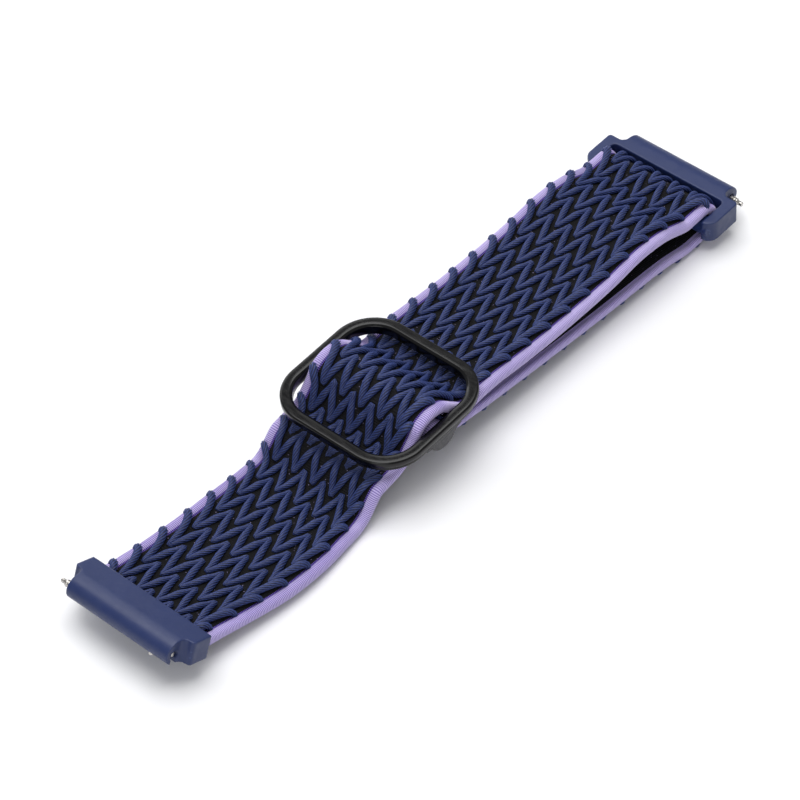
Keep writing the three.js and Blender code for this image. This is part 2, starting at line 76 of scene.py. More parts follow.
BAR_INSET, BAR_DROP = 1.8, 0.6  # a spring bar, from its connector's outer end and mid-height
FIXED_TILT = math.radians(-21)
FIXED_DEPTH, FIXED_POCKET, TAB = 7.85, 3.3, 2.0
LOOP_TILT = math.radians(3)
LOOP_BAR_PLACE, LOOP_BAR_RADIUS = 10.2, 1.7
LOOP_FOLD_REACH = 3.0
SLIDER_TILT = math.radians(4)
SLIDER_LENGTH, SLIDER_RAIL, SLIDER_CORNER = 26.6, 2.1, 7.7
EAR_RADIUS, EAR_DROP, EAR_FILLET = 3.1, 4.6, 2.0
SLIDER_HEIGHT, CENTER_BAR_DROP, CENTER_BAR_RADIUS = 2.2, 3.0, 0.75

PIN_RADIUS, SHOULDER_RADIUS, PLUG_RADIUS = 0.4, 0.62, 0.52

ROW_PITCH = 5.2  # between one cord and the next
CORD_WIDTH, CORD_HEIGHT = 0.98, 0.9
PEAK_STEP = 2.03  # across, from a trough to the next peak
PEAK_REACH = 6.4  # along, from a trough to the next peak
LOBES = 7  # threads round a cord
POINTS_PER_LOBE = 3
BAR_SQUEEZE, BAR_SPREAD = 0.55, 2.4  # share pressed flat under a slider bar, and how far along
VALLEY, LOBE = 0.7, 1.05  # share of the cord's radius between threads and on them
CORD_STEP = 0.32  # along a cord, between its rings of points
BASE_TOP, BASE_BACK = 0.3, -1.12  # faces of the elastic base
RIB_PITCH = 0.3  # stitches of the edge binding
FACE_END, BINDING_START = 9.95, 10.25  # across, of the elastic face and of the lavender binding
RIB_DEPTH = 0.08


def centre_of(node):
    """Middle of a CAD node's box, in millimetres, as X and Z."""
    low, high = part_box(node)
    return np.array([low[0] + high[0], low[2] + high[2]]) / 2 / MM


# ---------------------------------------------------------------- poses of the rigid pieces
class Pose:
    """A rigid piece's own frame. along runs inwards from its outer end, up is its height."""

    def __init__(self, node, along, up, tilt, turned=False):
        self.flip = -1 if turned else 1
        self.cos, self.sin = math.cos(tilt), math.sin(tilt)
        self.origin = np.zeros(2)
        self.origin = centre_of(node) - self.at(along, up)

    def at(self, along, up):
        """The place of a point, or of an array of them, as X and Z."""
        x = self.origin[0] + self.flip * along * self.cos - up * self.sin
        z = self.origin[1] + self.flip * along * self.sin + up * self.cos
        return np.array([x, z])

    def turn(self, along, across, up):
        """The same with a place across, as rows of X, Y and Z."""
        x, z = self.at(np.asarray(along, float), np.asarray(up, float))
        y = np.broadcast_to(across, x.shape)
        return np.stack([x, y, z], -1)


fixed = Pose("fixed_bar_tube", BAR_INSET, -BAR_DROP, FIXED_TILT)
loop = Pose("loop_bar_tube", BAR_INSET, -BAR_DROP, LOOP_TILT, turned=True)
slider = Pose("slider_center_bar", 0, -CENTER_BAR_DROP, SLIDER_TILT)


# ---------------------------------------------------------------- curves
def smooth(points, step):
    """Even rows on a centripetal Catmull-Rom curve through points, about step apart."""
    knots = np.array(points, float)
    knots = np.vstack([2 * knots[0] - knots[1], knots, 2 * knots[-1] - knots[-2]])
    share = np.linspace(0, 1, 20, endpoint=False)[:, None]
    fine = []
    for before, start, end, after in zip(knots, knots[1:], knots[2:], knots[3:]):
        first, middle, last = (
            math.sqrt(max(float(np.linalg.norm(b - a)), 1e-6))
            for a, b in ((before, start), (start, end), (end, after))
        )
        leave = (start - before) / first - (end - before) / (first + middle)
        leave = middle * leave + (end - start)
        arrive = (after - end) / last - (after - start) / (middle + last)
        arrive = middle * arrive + (end - start)
        fine.append(
            (2 * share**3 - 3 * share**2 + 1) * start
            + (share**3 - 2 * share**2 + share) * leave
            + (3 * share**2 - 2 * share**3) * end
            + (share**3 - share**2) * arrive
        )
    fine = np.vstack(fine + [knots[-2][None]])
    length = np.concatenate([[0], np.cumsum(np.linalg.norm(np.diff(fine, axis=0), axis=1))])
    even = np.linspace(0, length[-1], max(2, math.ceil(length[-1] / step) + 1))
    return np.stack([np.interp(even, length, column) for column in fine.T], -1)


def between(start, end, share, rise=0.0):
    return start + (end - start) * share + np.array([0, rise])


def ease(value, start, end):
    """0 up to start, 1 from end on, and a smooth step between them."""
    t = np.clip((value - start) / (end - start), 0, 1)
    return t * t * (3 - 2 * t)


# ---------------------------------------------------------------- the strap's route
class Strap:
    """The webbing's route, from the fixed connector to the sewn end round the centre bar."""

    def __init__(self):
        parts = [
            self.left_run(),
            self.crest(),
            self.top_run(),
            self.fold(),
            self.lower_run(),
            self.sewn_loop(),
        ]
        joints = [len(smooth(np.vstack(parts[: i + 1]), 0.2)) for i in range(len(parts))]
        self.route = smooth(np.vstack(parts), 0.2)
        steps = np.linalg.norm(np.diff(self.route, axis=0), axis=1)
        self.along = np.concatenate([[0], np.cumsum(steps)])
        direction = np.gradient(self.route, self.along, axis=0)
        direction /= np.linalg.norm(direction, axis=1)[:, None]
        self.normal = np.stack([-direction[:, 1], direction[:, 0]], -1)
        self.length = self.along[-1]
        ends = [self.along[min(j, len(self.along)) - 1] for j in joints]
        self.crest_start, self.top_start, self.fold_start, self.lower_start, self.sewn_start, _ = ends

    def left_run(self):
        resting = HALF * math.tan(TWIST) + STRAP_THICKNESS / 2 + 0.05
        tab_end = FIXED_DEPTH - FIXED_POCKET + TAB
        mouth = fixed.at(FIXED_DEPTH + 1, 0)
        self.mouth, self.first_bar = mouth[0], self.under_bar(-1, 1.2)[0]
        span = self.first_bar - mouth[0]
        rises = ((0.16, 1.16), (0.32, 1.0), (0.53, 0.9), (0.72, 0), (0.86, -0.2))
        middle = [(mouth[0] + share * span, resting + rise) for share, rise in rises]
        bar = self.under_bar(-1, 1.2)
        in_line = between(bar, self.crest()[0], -0.35)
        return [fixed.at(tab_end, 0), mouth, *middle, in_line, bar]

    def under_bar(self, side, extra):
        """The strap's middle where it passes under the slider's first or last bar."""
        reach = (SLIDER_LENGTH - SLIDER_RAIL) / 2
        return slider.at(side * reach, -STRAP_THICKNESS / 2 - GAP - SLIDER_HEIGHT - extra)

    def crest(self):
        shoulder = SLIDER_LENGTH / 2 - SLIDER_CORNER
        under = STRAP_THICKNESS / 2 + GAP + SLIDER_HEIGHT
        return [
            slider.at(-shoulder - 2.4, -under - 0.4),
            slider.at(-shoulder + 0.7, -1.3),
            slider.at(-0.5 * shoulder, 1.0),
            slider.at(0, 1.7),
            slider.at(0.5 * shoulder, 1.0),
            slider.at(shoulder - 0.25, -1.25),
            slider.at(shoulder + 2.6, -under - 0.1),
            self.under_bar(1, 0.2),
        ]

    def fold_end(self, side, along=0.0, up=0.0):
        radius = LOOP_BAR_RADIUS + GAP + STRAP_THICKNESS / 2
        return loop.at(LOOP_BAR_PLACE + LOOP_FOLD_REACH + along, side * radius + up)

    def top_run(self):
        start, end = self.under_bar(1, 0.2), self.fold_end(1)
        rises = (
            (0.06, 0.25),
            (0.2, -0.1),
            (0.35, -0.1),
            (0.5, 0.25),
            (0.62, 0.85),
            (0.74, 1.9),
            (0.86, 1.6),
        )
        return [*(between(start, end, *rise) for rise in rises), self.fold_end(1, 1.6, 0.05)]

    def fold(self):
        radius = LOOP_BAR_RADIUS + GAP + STRAP_THICKNESS / 2
        turns = np.linspace(math.pi / 2, 1.5 * math.pi, 9)
        arc = [
            loop.at(LOOP_BAR_PLACE + radius * math.cos(t), radius * math.sin(t)) for t in turns
        ]
        straight = [loop.at(LOOP_BAR_PLACE + 1.5, side * radius) for side in (1, -1)]
        return [self.fold_end(1), straight[0], *arc, straight[1], self.fold_end(-1)]

    def round_bar(self, angle, extra=0.0):
        turn = math.radians(angle)
        reach = CENTER_BAR_RADIUS + GAP + SEWN_THICKNESS / 2 + extra
        return slider.at(reach * math.cos(turn), reach * math.sin(turn) - CENTER_BAR_DROP)

    def lower_run(self):
        bend = slider.at(13.5, -CENTER_BAR_DROP - 4.4)
        under = self.fold_end(-1)
        return [
            self.fold_end(-1, 1.6, 0.03),
            between(bend, under, 0.85, 0.4),
            between(bend, under, 0.55),
            between(bend, under, 0.25, -0.1),
            bend,
            slider.at(8.4, -CENTER_BAR_DROP - 3.55),
            slider.at(4.6, -CENTER_BAR_DROP - 2.9),
            self.round_bar(-72, 0.25),
        ]

    def sewn_loop(self):
        bend = slider.at(3.4, -CENTER_BAR_DROP - 0.75)
        end = slider.at(5.3, -CENTER_BAR_DROP - 1.12)
        turns = [self.round_bar(angle) for angle in np.arange(-90, -271, -22.5)]
        return [*turns, self.round_bar(-305, 0.15), bend, between(bend, end, 0.5), end]

    def thickness(self, along):
        """1 where the webbing is full, less where its sewn end is pressed flat."""
        pressed = ease(along, self.sewn_start - 10, self.sewn_start)
        return 1 - (1 - SEWN_THICKNESS / STRAP_THICKNESS) * pressed

    def place(self, along, across, up):
        """Points of the strap's own coordinates, as rows of X, Y and Z."""
        along, across, up = np.broadcast_arrays(along, across, up)
        x, z = (np.interp(along, self.along, self.route[:, i]) for i in (0, 1))
        nx, nz = (np.interp(along, self.along, self.normal[:, i]) for i in (0, 1))
        lift = up * self.thickness(along)
        share = np.clip((x - self.mouth) / (self.first_bar - self.mouth), 0, 1)
        swell = np.where(along < self.crest_start, np.sin(math.pi * share) ** 2, 0)
        y = across + BOW * swell
        return np.stack([x + nx * lift, y, z + nz * lift + across * math.tan(TWIST) * swell], -1)


strap = Strap()


# ---------------------------------------------------------------- meshes
def mesh_object(name, points, faces, uvs, bands, materials):
    """A smooth-shaded mesh. uvs holds one place for each corner of each four-sided face."""
    mesh = bpy.data.meshes.new(name)
    mesh.from_pydata(np.asarray(points, float) * MM, [], faces)
    layer = mesh.uv_layers.new(name="Weave")
    flat = np.zeros((len(mesh.loops), 2), np.float32)
    flat[: len(uvs)] = uvs
    layer.data.foreach_set("uv", flat.ravel())
    for material in materials:
        mesh.materials.append(material)
    mesh.polygons.foreach_set("material_index", bands)
    mesh.polygons.foreach_set("use_smooth", [True] * len(faces))
    mesh.update()
    piece = bpy.data.objects.new(name, mesh)
    bpy.context.scene.collection.objects.link(piece)
    return piece


def skin(name, tubes, materials, bands=None, ring=False, share_round=False):
    """One mesh from tubes, each an array of sections with the same number of points round them.

    bands gives the material of each strip of faces along the tubes. A ring's last section joins
    its first; any other tube is closed by its end sections. The second texture coordinate is the
    millimetres round a tube, or with share_round the share of the way round it.
    """
    points, faces, caps, uvs, slots, cap_slots = [], [], [], [], [], []
    offset = 0
    for tube in tubes:
        count, around = tube.shape[:2]
        points.append(tube.reshape(-1, 3))
        index = np.arange(count * around).reshape(count, around) + offset
        index = np.hstack([index, index[:, :1]])
        middle = tube.mean(1)
        length = np.concatenate([[0], np.cumsum(np.linalg.norm(np.diff(middle, axis=0), axis=1))])
        if ring:
            index = np.vstack([index, index[:1]])
            length = np.append(length, 2 * length[-1] - length[-2])
        closed = np.concatenate([tube[0], tube[0][:1]])
        girth = np.concatenate([[0], np.cumsum(np.linalg.norm(np.diff(closed, axis=0), axis=1))])
        if share_round:
            girth = np.linspace(0, 1, around + 1)
        u, v = np.meshgrid(length, girth, indexing="ij")
        corner = np.stack([u, v], -1)
        quads = np.stack([index[:-1, :-1], index[:-1, 1:], index[1:, 1:], index[1:, :-1]], -1)
        places = np.stack([corner[:-1, :-1], corner[:-1, 1:], corner[1:, 1:], corner[1:, :-1]], 2)
        faces.append(quads.reshape(-1, 4))
        uvs.append(places.reshape(-1, 2))
        slots.append(np.tile(bands if bands is not None else np.zeros(around, int), len(index) - 1))
        if not ring:
            caps += [index[0, :-1][::-1].tolist(), index[-1, :-1].tolist()]
            cap_slots += [0, 0]
        offset += count * around
    every_face = np.vstack(faces).tolist() + caps
    every_slot = np.concatenate([*slots, cap_slots]).astype(np.int32)
    return mesh_object(name, np.vstack(points), every_face, np.vstack(uvs), every_slot, materials)


# ---------------------------------------------------------------- materials
def srgb(red, green, blue):
    """A screen colour from 0 to 255 as a linear one."""
    linear = []
    for value in (red / 255, green / 255, blue / 255):
        linear.append(value / 12.92 if value <= 0.04045 else ((value + 0.055) / 1.055) ** 2.4)
    return (*linear, 1.0)


class Finish:
    """A procedural material: its nodes, and the Principled shader that they feed."""

    def __init__(self, name, **constants):
        self.material = bpy.data.materials.new(name)
        self.material.use_nodes = True
        self.tree = self.material.node_tree
        self.shader = self.tree.nodes["Principled BSDF"]
        for socket, value in constants.items():
            self.shader.inputs[socket.replace("_", " ")].default_value = value

    def add(self, kind, settings=None, **inputs):
        """A node of this kind, with its inputs set to values or linked to sockets."""
        node = self.tree.nodes.new("ShaderNode" + kind)
        for name, value in (settings or {}).items():
            setattr(node, name, value)
        for name, value in inputs.items():
            socket = node.inputs[int(name[1:])] if name[1:].isdigit() else node.inputs[name]
            self.feed(socket, value)
        return node

    def feed(self, socket, value):
        if isinstance(value, bpy.types.NodeSocket):
            self.tree.links.new(value, socket)
        else:
            socket.default_value = value

    def weave(self):
        """The strap's own coordinates: millimetres along, and millimetres round its section."""
        return self.add("UVMap", {"uv_map": "Weave"}).outputs["UV"]

    def solid(self):
        return self.add("TexCoord").outputs["Object"]

    def noise(self, where, scale, detail=3.0, rough=0.5):
        node = self.add("TexNoise", Vector=where, Scale=scale, Detail=detail, Roughness=rough)
        return node.outputs["Fac"]

    def maths(self, operation, *values):
        node = self.add("Math", {"operation": operation})
        for socket, value in zip(node.inputs, values):
            self.feed(socket, value)
        return node.outputs[0]

    def spread(self, value, low, high, to_low=0.0, to_high=1.0):
        """value from low..high to to_low..to_high, held at both ends."""
        node = self.add("MapRange", {"interpolation_type": "SMOOTHSTEP"})
        for socket, number in zip(node.inputs, (value, low, high, to_low, to_high)):
            self.feed(socket, number)
        return node.outputs[0]

    def blend(self, share, first, second):
        node = self.add("Mix", {"data_type": "RGBA"})
        self.feed(node.inputs[0], share)
        self.feed(node.inputs[6], first)
        self.feed(node.inputs[7], second)
        return node.outputs[2]

    def bump(self, height, distance, strength=1.0, under=None):
        node = self.add("Bump", Height=height, Distance=distance, Strength=strength)
        if under is not None:
            self.tree.links.new(under, node.inputs["Normal"])
        return node.outputs["Normal"]

    def finish(self, color, roughness, normal):
        self.feed(self.shader.inputs["Base Color"], color)
        self.feed(self.shader.inputs["Roughness"], roughness)
        self.tree.links.new(normal, self.shader.inputs["Normal"])
        return self.material


def moulded_plastic():
    """Satin slate-blue plastic: a fine moulded grain, faint flow clouds, paler on its sharp convex
    edges.
    """
    f = Finish("blue_plastic", Specular_IOR_Level=0.4, Coat_Weight=0.06, Coat_Roughness=0.25)
    where = f.solid()
    clouds = f.noise(where, 160.0)
    grain = f.noise(where, 5200.0, 2.0)
    # Colour made paler on sharply convex edges, found from pointiness.
    convex_edges = f.spread(f.add("NewGeometry").outputs["Pointiness"], 0.52, 0.6)
    color = f.blend(clouds, srgb(26, 40, 82), srgb(31, 46, 92))
    color = f.blend(f.maths("MULTIPLY", convex_edges, 0.35), color, srgb(62, 78, 124))
    roughness = f.spread(f.noise(where, 700.0), 0.3, 0.7, 0.36, 0.5)
    return f.finish(color, roughness, f.bump(grain, 0.00002, 0.35))


def glossy_black():
    """Black coating on a metal frame: gloss with a faint ripple and fine wiped scuffs."""
    f = Finish("black_metal", Specular_IOR_Level=0.25, Coat_Weight=0.1, Coat_Roughness=0.08)
    where = f.solid()
    scuffs = f.noise(f.add("Mapping", Vector=where, Scale=(1, 0.15, 1)).outputs[0], 3000.0)
    color = f.blend(f.noise(where, 300.0), srgb(3, 3, 4), srgb(8, 8, 9))
    roughness = f.spread(scuffs, 0.35, 0.75, 0.14, 0.24)
    return f.finish(color, roughness, f.bump(f.noise(where, 900.0), 0.000006, 0.3))


def satin_black():
    """The same coating left satin, on the slider's ears."""
    f = Finish("black_satin")
    where = f.solid()
    color = f.blend(f.noise(where, 400.0), srgb(44, 44, 47), srgb(60, 60, 63))
    roughness = f.spread(f.noise(where, 2500.0), 0.3, 0.7, 0.42, 0.58)
    return f.finish(color, roughness, f.bump(f.noise(where, 6000.0), 0.00001, 0.4))


def turned_steel():
    """Stainless steel with the fine rings that a lathe leaves round it."""
    f = Finish("steel", Metallic=1.0)
    where = f.solid()
    y = f.add("SeparateXYZ", Vector=where).outputs["Y"]
    rings = f.maths("SINE", f.maths("MULTIPLY", y, 42000.0))
    color = f.blend(f.noise(where, 900.0), srgb(176, 172, 166), srgb(206, 203, 198))
    roughness = f.spread(f.noise(where, 2600.0), 0.3, 0.7, 0.2, 0.34)
    return f.finish(color, roughness, f.bump(rings, 0.000004, 0.5))


def braided_cord():
    """Navy polyester threads: filaments along each thread, and shadow between the threads."""
    f = Finish("navy_cord", Sheen_Weight=0.15, Sheen_Roughness=0.4, Specular_IOR_Level=0.4)
    f.shader.inputs["Sheen Tint"].default_value = srgb(120, 140, 205)
    stretched = f.add("Mapping", Vector=f.weave(), Scale=(0.7, 20.0, 1.0)).outputs[0]
    filaments = f.noise(stretched, 4.0, 3.0)
    clouds = f.noise(f.solid(), 380.0)
    round_share = f.add("SeparateXYZ", Vector=f.weave()).outputs["Y"]
    wave = f.maths("COSINE", f.maths("MULTIPLY", round_share, 2 * math.pi * LOBES))
    color = f.blend(f.spread(filaments, 0.3, 0.72), srgb(22, 33, 78), srgb(60, 80, 148))
    color = f.blend(f.maths("MULTIPLY", clouds, 0.4), color, srgb(32, 44, 90))
    valley = f.maths("MULTIPLY", f.spread(wave, -0.3, 0.95), 0.85)
    color = f.blend(valley, color, srgb(8, 10, 26))
    roughness = f.spread(filaments, 0.3, 0.7, 0.66, 0.42)
    return f.finish(color, roughness, f.bump(filaments, 0.00008, 0.6))


def elastic_base():
    """Black ribbed elastic with tiny pale specks where the binder threads cross it."""
    f = Finish("black_elastic", Specular_IOR_Level=0.25)
    where = f.weave()
    parts = f.add("SeparateXYZ", Vector=where)
    ribs = f.maths("SINE", f.maths("MULTIPLY", parts.outputs["X"], 2 * math.pi / 0.42))
    threads = f.maths("SINE", f.maths("MULTIPLY", parts.outputs["Y"], 2 * math.pi / 0.5))
    height = f.maths("ADD", ribs, f.maths("MULTIPLY", threads, 0.5))
    specks = f.add("TexVoronoi", Vector=where, Scale=1.3).outputs["Distance"]
    pale = f.maths("MULTIPLY", f.spread(specks, 0.05, 0.12, 1.0, 0.0), 0.8)
    fuzz = f.noise(where, 7.0)
    color = f.blend(fuzz, srgb(3, 3, 5), srgb(10, 10, 16))
    color = f.blend(pale, color, srgb(168, 158, 200))
    roughness = f.spread(fuzz, 0.3, 0.7, 0.72, 0.9)
    under = f.bump(fuzz, 0.0001, 0.5)
    return f.finish(color, roughness, f.bump(height, 0.00008, 0.6, under))


def edge_binding():
    """Lavender knitted edge: a stitch to each rib, with painted purple shade in the grooves between
    them.
    """
    f = Finish("lavender_edge", Sheen_Weight=0.3, Sheen_Roughness=0.5, Specular_IOR_Level=0.3)
    parts = f.add("SeparateXYZ", Vector=f.weave())
    turn = f.maths("MULTIPLY", parts.outputs["X"], 2 * math.pi / RIB_PITCH)
    ribs = f.maths("SINE", turn)
    lines = f.maths("SINE", f.maths("MULTIPLY", parts.outputs["Y"], 2 * math.pi / 0.35))
    fuzz = f.noise(f.weave(), 6.0)
    color = f.blend(fuzz, srgb(172, 158, 212), srgb(202, 190, 232))
    # Painted shade: purple darkening in the grooves between the stitches.
    groove = f.maths("MULTIPLY", f.spread(ribs, -1.0, 0.45, 1.0, 0.0), 0.85)
    color = f.blend(groove, color, srgb(92, 70, 158))
    height = f.maths("ADD", ribs, f.maths("MULTIPLY", lines, 0.4))
    roughness = f.spread(fuzz, 0.3, 0.7, 0.6, 0.8)
    return f.finish(color, roughness, f.bump(height, 0.00006, 0.5))


def binding_shadow():
    """Painted shadow in the groove beside the binding: a dark purple strip, striped with the ribs."""
    f = Finish("purple_groove_shadow", Specular_IOR_Level=0.2)
    parts = f.add("SeparateXYZ", Vector=f.weave())
    ribs = f.maths("SINE", f.maths("MULTIPLY", parts.outputs["X"], 2 * math.pi / RIB_PITCH))
    # Painted shadow: dark purple, lighter on each rib, in the groove beside the binding.
    color = f.blend(f.spread(ribs, -0.6, 0.9), srgb(40, 30, 92), srgb(112, 92, 178))
    roughness = f.spread(f.noise(f.weave(), 5.0), 0.3, 0.7, 0.7, 0.88)
    return f.finish(color, roughness, f.bump(ribs, 0.00006, 0.6))


def sewing_thread():
    f = Finish("seam_thread", Sheen_Weight=0.2, Specular_IOR_Level=0.3)
    where = f.solid()
    strands = f.noise(f.add("Mapping", Vector=where, Scale=(1, 0.3, 1)).outputs[0], 9000.0)
    color = f.blend(strands, srgb(170, 156, 208), srgb(206, 194, 236))
    roughness = f.spread(strands, 0.3, 0.7, 0.55, 0.75)
    return f.finish(color, roughness, f.bump(strands, 0.00003, 0.6))


def pale_floor():
    f = Finish("pale_floor", Specular_IOR_Level=0.1)
    clouds = f.noise(f.solid(), 6.0)
    color = f.blend(clouds, (0.86, 0.86, 0.87, 1), (0.88, 0.88, 0.89, 1))
    return f.finish(color, f.spread(clouds, 0, 1, 0.8, 0.9), f.bump(clouds, 0.0001, 0.05))


PLASTIC, GLOSS, SATIN, STEEL = moulded_plastic(), glossy_black(), satin_black(), turned_steel()
CORD, ELASTIC, LAVENDER, PURPLE_SHADOW = braided_cord(), elastic_base(), edge_binding(), binding_shadow()
THREAD = sewing_thread()


# ---------------------------------------------------------------- the webbing's base and edges
def strap_section():
    """Half of the base's outline from the middle of its face to the middle of its back.

    Rows hold across, up, and how much of the binding's stitch relief the point takes.
    """
    face = [(across, BASE_TOP, 0) for across in np.linspace(0, FACE_END, 8)]
    edge = [
        (10.12, 0.14, 0),
        (10.3, 0.36, 1),
        (10.6, 0.52, 1),
        (11.0, 0.6, 1),
        (11.35, 0.57, 1),
        (11.62, 0.43, 0.7),
        (11.8, 0.2, 0.4),
        (11.88, -0.12, 0.3),
        (11.88, -0.5, 0.3),
        (11.8, -0.85, 0.4),
        (11.6, -1.07, 0.7),
        (11.3, -1.16, 1),
        (10.95, -1.14, 1),
        (10.7, -0.98, 0),
    ]
    back = [(across, BASE_BACK, 0) for across in np.linspace(10.5, 0, 8)]
    return np.array(face + edge + back)


def whole_section():
    """The base's outline all the way round: the drawn half and its mirror image."""
    half = strap_section()
    return np.vstack([half, half[-2:0:-1] * (-1, 1, 1)])


def base_tube(start, end):
    """The base between two places along the strap, with a stitch every RIB_PITCH on its edges."""
    section = whole_section()
    along = np.linspace(start, end, round(2 * (end - start) / RIB_PITCH) + 1)
    relief = np.where(np.arange(len(along)) % 2, 0.0, RIB_DEPTH)
    across = section[:, 0] - relief[:, None] * section[:, 2] * np.sign(section[:, 0]) * 0.5
    up = section[:, 1] - relief[:, None] * section[:, 2] * np.sign(section[:, 1] + 0.3)
    return strap.place(along[:, None], across, up)


def base_bands():
    """Material of each strip round the base: elastic, painted purple shadow in the groove by the
    binding, or lavender binding.
    """
    section = whole_section()
    following = np.roll(section, -1, axis=0)
    middle = np.abs((section[:, 0] + following[:, 0]) / 2)
    # Band 2, between the elastic face and the binding, is the painted purple shadow in that groove.
    return np.where(middle > BINDING_START, 1, np.where(middle > FACE_END, 2, 0))


# ---------------------------------------------------------------- braided cords
def cord_route(arch, hanging):
    """One cord's zigzag across the strap, as rows of along, across, up and relative size.

    A hanging cord, on the strap's underside, has a round arch at both ends.
    """
    peak, trough = 0.66, 0.5
    points = []
    for i in range(-4, 5):
        odd = i % 2
        corner = np.array([PEAK_REACH * odd, i * PEAK_STEP, peak if odd else trough, 0.86])
        to_next = np.array([PEAK_REACH * (1 - 2 * odd), PEAK_STEP, 0, 0])
        to_last = np.array([PEAK_REACH * (1 - 2 * odd), -PEAK_STEP, 0, 0])
        rise = np.array([0, 0, 0.14, 0.27])
        before = [corner + to_last * 0.42 + rise, corner + to_last * 0.16]
        after = [corner + to_next * 0.16, corner + to_next * 0.42 + rise]
        points += [*before, corner, *after]
    points = np.array(points)
    inner = points[np.abs(points[:, 1]) < 8.3]
    # The far end is a round arch that stands over the binding. The near end is a lower arch that
    # stops short of it.
    far = [
        (2.6, 8.7, 0.8 + 0.1 * arch, 1.1),
        (4.5, 9.3, 0.9 + 0.3 * arch, 1.2),
        (5.7, 9.95, 0.95 + 0.45 * arch, 1.28),
        (6.4, 10.6, 0.8 + 0.5 * arch, 1.25),
        (6.6, 11.15, 0.45 + 0.4 * arch, 1.1),
        (6.2, 11.4, -0.25, 0.8),
    ]
    near = [
        (6.6, -10.1, -0.4, 0.8),
        (6.7, -10.05, 0.2, 1.0),
        (6.5, -9.8, 0.55 + 0.35 * arch, 1.2),
        (5.7, -9.45, 0.75 + 0.45 * arch, 1.3),
        (4.4, -9.05, 0.8 + 0.35 * arch, 1.25),
        (2.6, -8.6, 0.75 + 0.15 * arch, 1.1),
    ]
    if hanging:
        near = np.array(far)[::-1] * (1, -1, 1, 1)
    return np.vstack([near, inner, far])


def cord_tube(row, arch, twist, size, phase, hanging):
    """A cord laid across the strap at row: threads twisted round its axis, sunk at the turns."""
    route = smooth(cord_route(arch, hanging), CORD_STEP)
    scale = route[:, 3:] * size
    path = route[:, :3] + np.array([row, 0, 0])
    heading = np.gradient(path, axis=0)
    side = np.stack([-heading[:, 1], heading[:, 0], 0 * heading[:, 0]], -1)
    flat = np.linalg.norm(side, axis=1)[:, None]
    side = side / np.maximum(flat, 1e-6)
    rise = np.cross(heading, side)
    rise /= np.linalg.norm(rise, axis=1)[:, None]
    length = np.concatenate([[0], np.cumsum(np.linalg.norm(np.diff(path, axis=0), axis=1))])
    count = LOBES * POINTS_PER_LOBE
    around = np.arange(count) * 2 * math.pi / count
    valley = np.where(np.arange(count) % POINTS_PER_LOBE == 0, VALLEY, LOBE)
    angle = around[None] + twist * length[:, None] + phase
    half_width = CORD_WIDTH / 2 * scale * valley
    half_height = CORD_HEIGHT / 2 * np.sqrt(scale) * valley
    return (
        path[:, None]
        + side[:, None] * (half_width * np.cos(angle))[..., None]
        + rise[:, None] * (half_height * np.sin(angle))[..., None]
    )


def laid_cords(start, end, arch=1.0, twist=1.1, size=1.0, hanging=False):
    """Cords at every pitch from start to end, put on the strap's route."""
    tubes = []
    first = math.ceil((start - ROW_START) / ROW_PITCH)
    last = math.ceil((end - ROW_START) / ROW_PITCH)
    for i in range(first, last):
        row = ROW_START + i * ROW_PITCH
        rings = cord_tube(row, arch, twist, size, 1.9 * i, hanging)
        along, up = rings[..., 0], rings[..., 2]
        # Pressed flat where the strap enters the fixed connector.
        up = up * (0.5 + 0.5 * ease(along, 0.4, 3.2))
        # Squeezed under the slider's two bars.
        for bar in (strap.crest_start, strap.top_start):
            up = up * (1 - BAR_SQUEEZE * np.exp(-(((along - bar) / BAR_SPREAD) ** 2)))
        along = np.clip(along, 0.3, strap.length - 0.3)
        tubes.append(strap.place(along, rings[..., 1], up))
    return tubes


ROW_START = -2.5  # the first cord's trough, from the strap's sealed end


def weave_strap():
    base_materials = [ELASTIC, LAVENDER, PURPLE_SHADOW]
    bands = base_bands()
    cut = strap.crest_start
    left = skin("strap_left", [base_tube(0.1, cut)], base_materials, bands)
    main = skin("strap_main", [base_tube(cut, strap.length)], base_materials, bands)
    zones = [
        ("strap_left_cords", -8.0, cut - 3.4, dict(arch=1.0)),
        ("crest_cords", cut - 3.4, strap.top_start - 3.4, dict(arch=0.5, twist=1.25, size=1.1)),
        ("top_run_cords", strap.top_start - 3.4, strap.fold_start - 6, dict(arch=1.0)),
        ("lower_run_cords", strap.fold_start - 6, strap.length - 8, dict(arch=0.9, hanging=True)),
    ]
    pieces = [left, main]
    for name, start, end, how in zones:
        pieces.append(skin(name, laid_cords(start, end, **how), [CORD], share_round=True))
    after_slider = strap.under_bar(1, 0.2) * MM
    before_fold = strap.fold_end(1, 4.0) * MM
    for piece in pieces:
        if "left" in piece.name:
            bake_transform(piece)
        else:
            start = (after_slider[0] + 0.002, 0, before_fold[1])
            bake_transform(piece)
    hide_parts("strap_left_run")
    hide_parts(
        "strap_crest", "strap_top_run", "strap_fold", "strap_lower_run", "strap_sewn_loop"
    )


# ---------------------------------------------------------------- moulded connectors
def softened(node, name, body, voxel=0.125, passes=9):
    """A moulded copy of a CAD node: the same shape with every edge eased over."""
    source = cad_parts[node]
    piece = source.copy()
    piece.data = source.data.copy()
    piece.name = name
    piece.parent = None
    bpy.context.scene.collection.objects.link(piece)
    remesh = piece.modifiers.new("fine", "REMESH")
    remesh.mode = "VOXEL"
    remesh.voxel_size = voxel * MM
    ease_edges = piece.modifiers.new("ease", "SMOOTH")
    ease_edges.factor = 0.5
    ease_edges.iterations = passes
    evaluated = piece.evaluated_get(bpy.context.evaluated_depsgraph_get())
    mesh = bpy.data.meshes.new_from_object(evaluated)
    piece.modifiers.clear()
    piece.data = mesh
    mesh.materials.clear()
    mesh.materials.append(PLASTIC)
    mesh.polygons.foreach_set("use_smooth", [True] * len(mesh.polygons))
    mesh.polygons.foreach_set("material_index", [0] * len(mesh.polygons))
    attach(piece, body)
    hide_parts(node)
    return piece


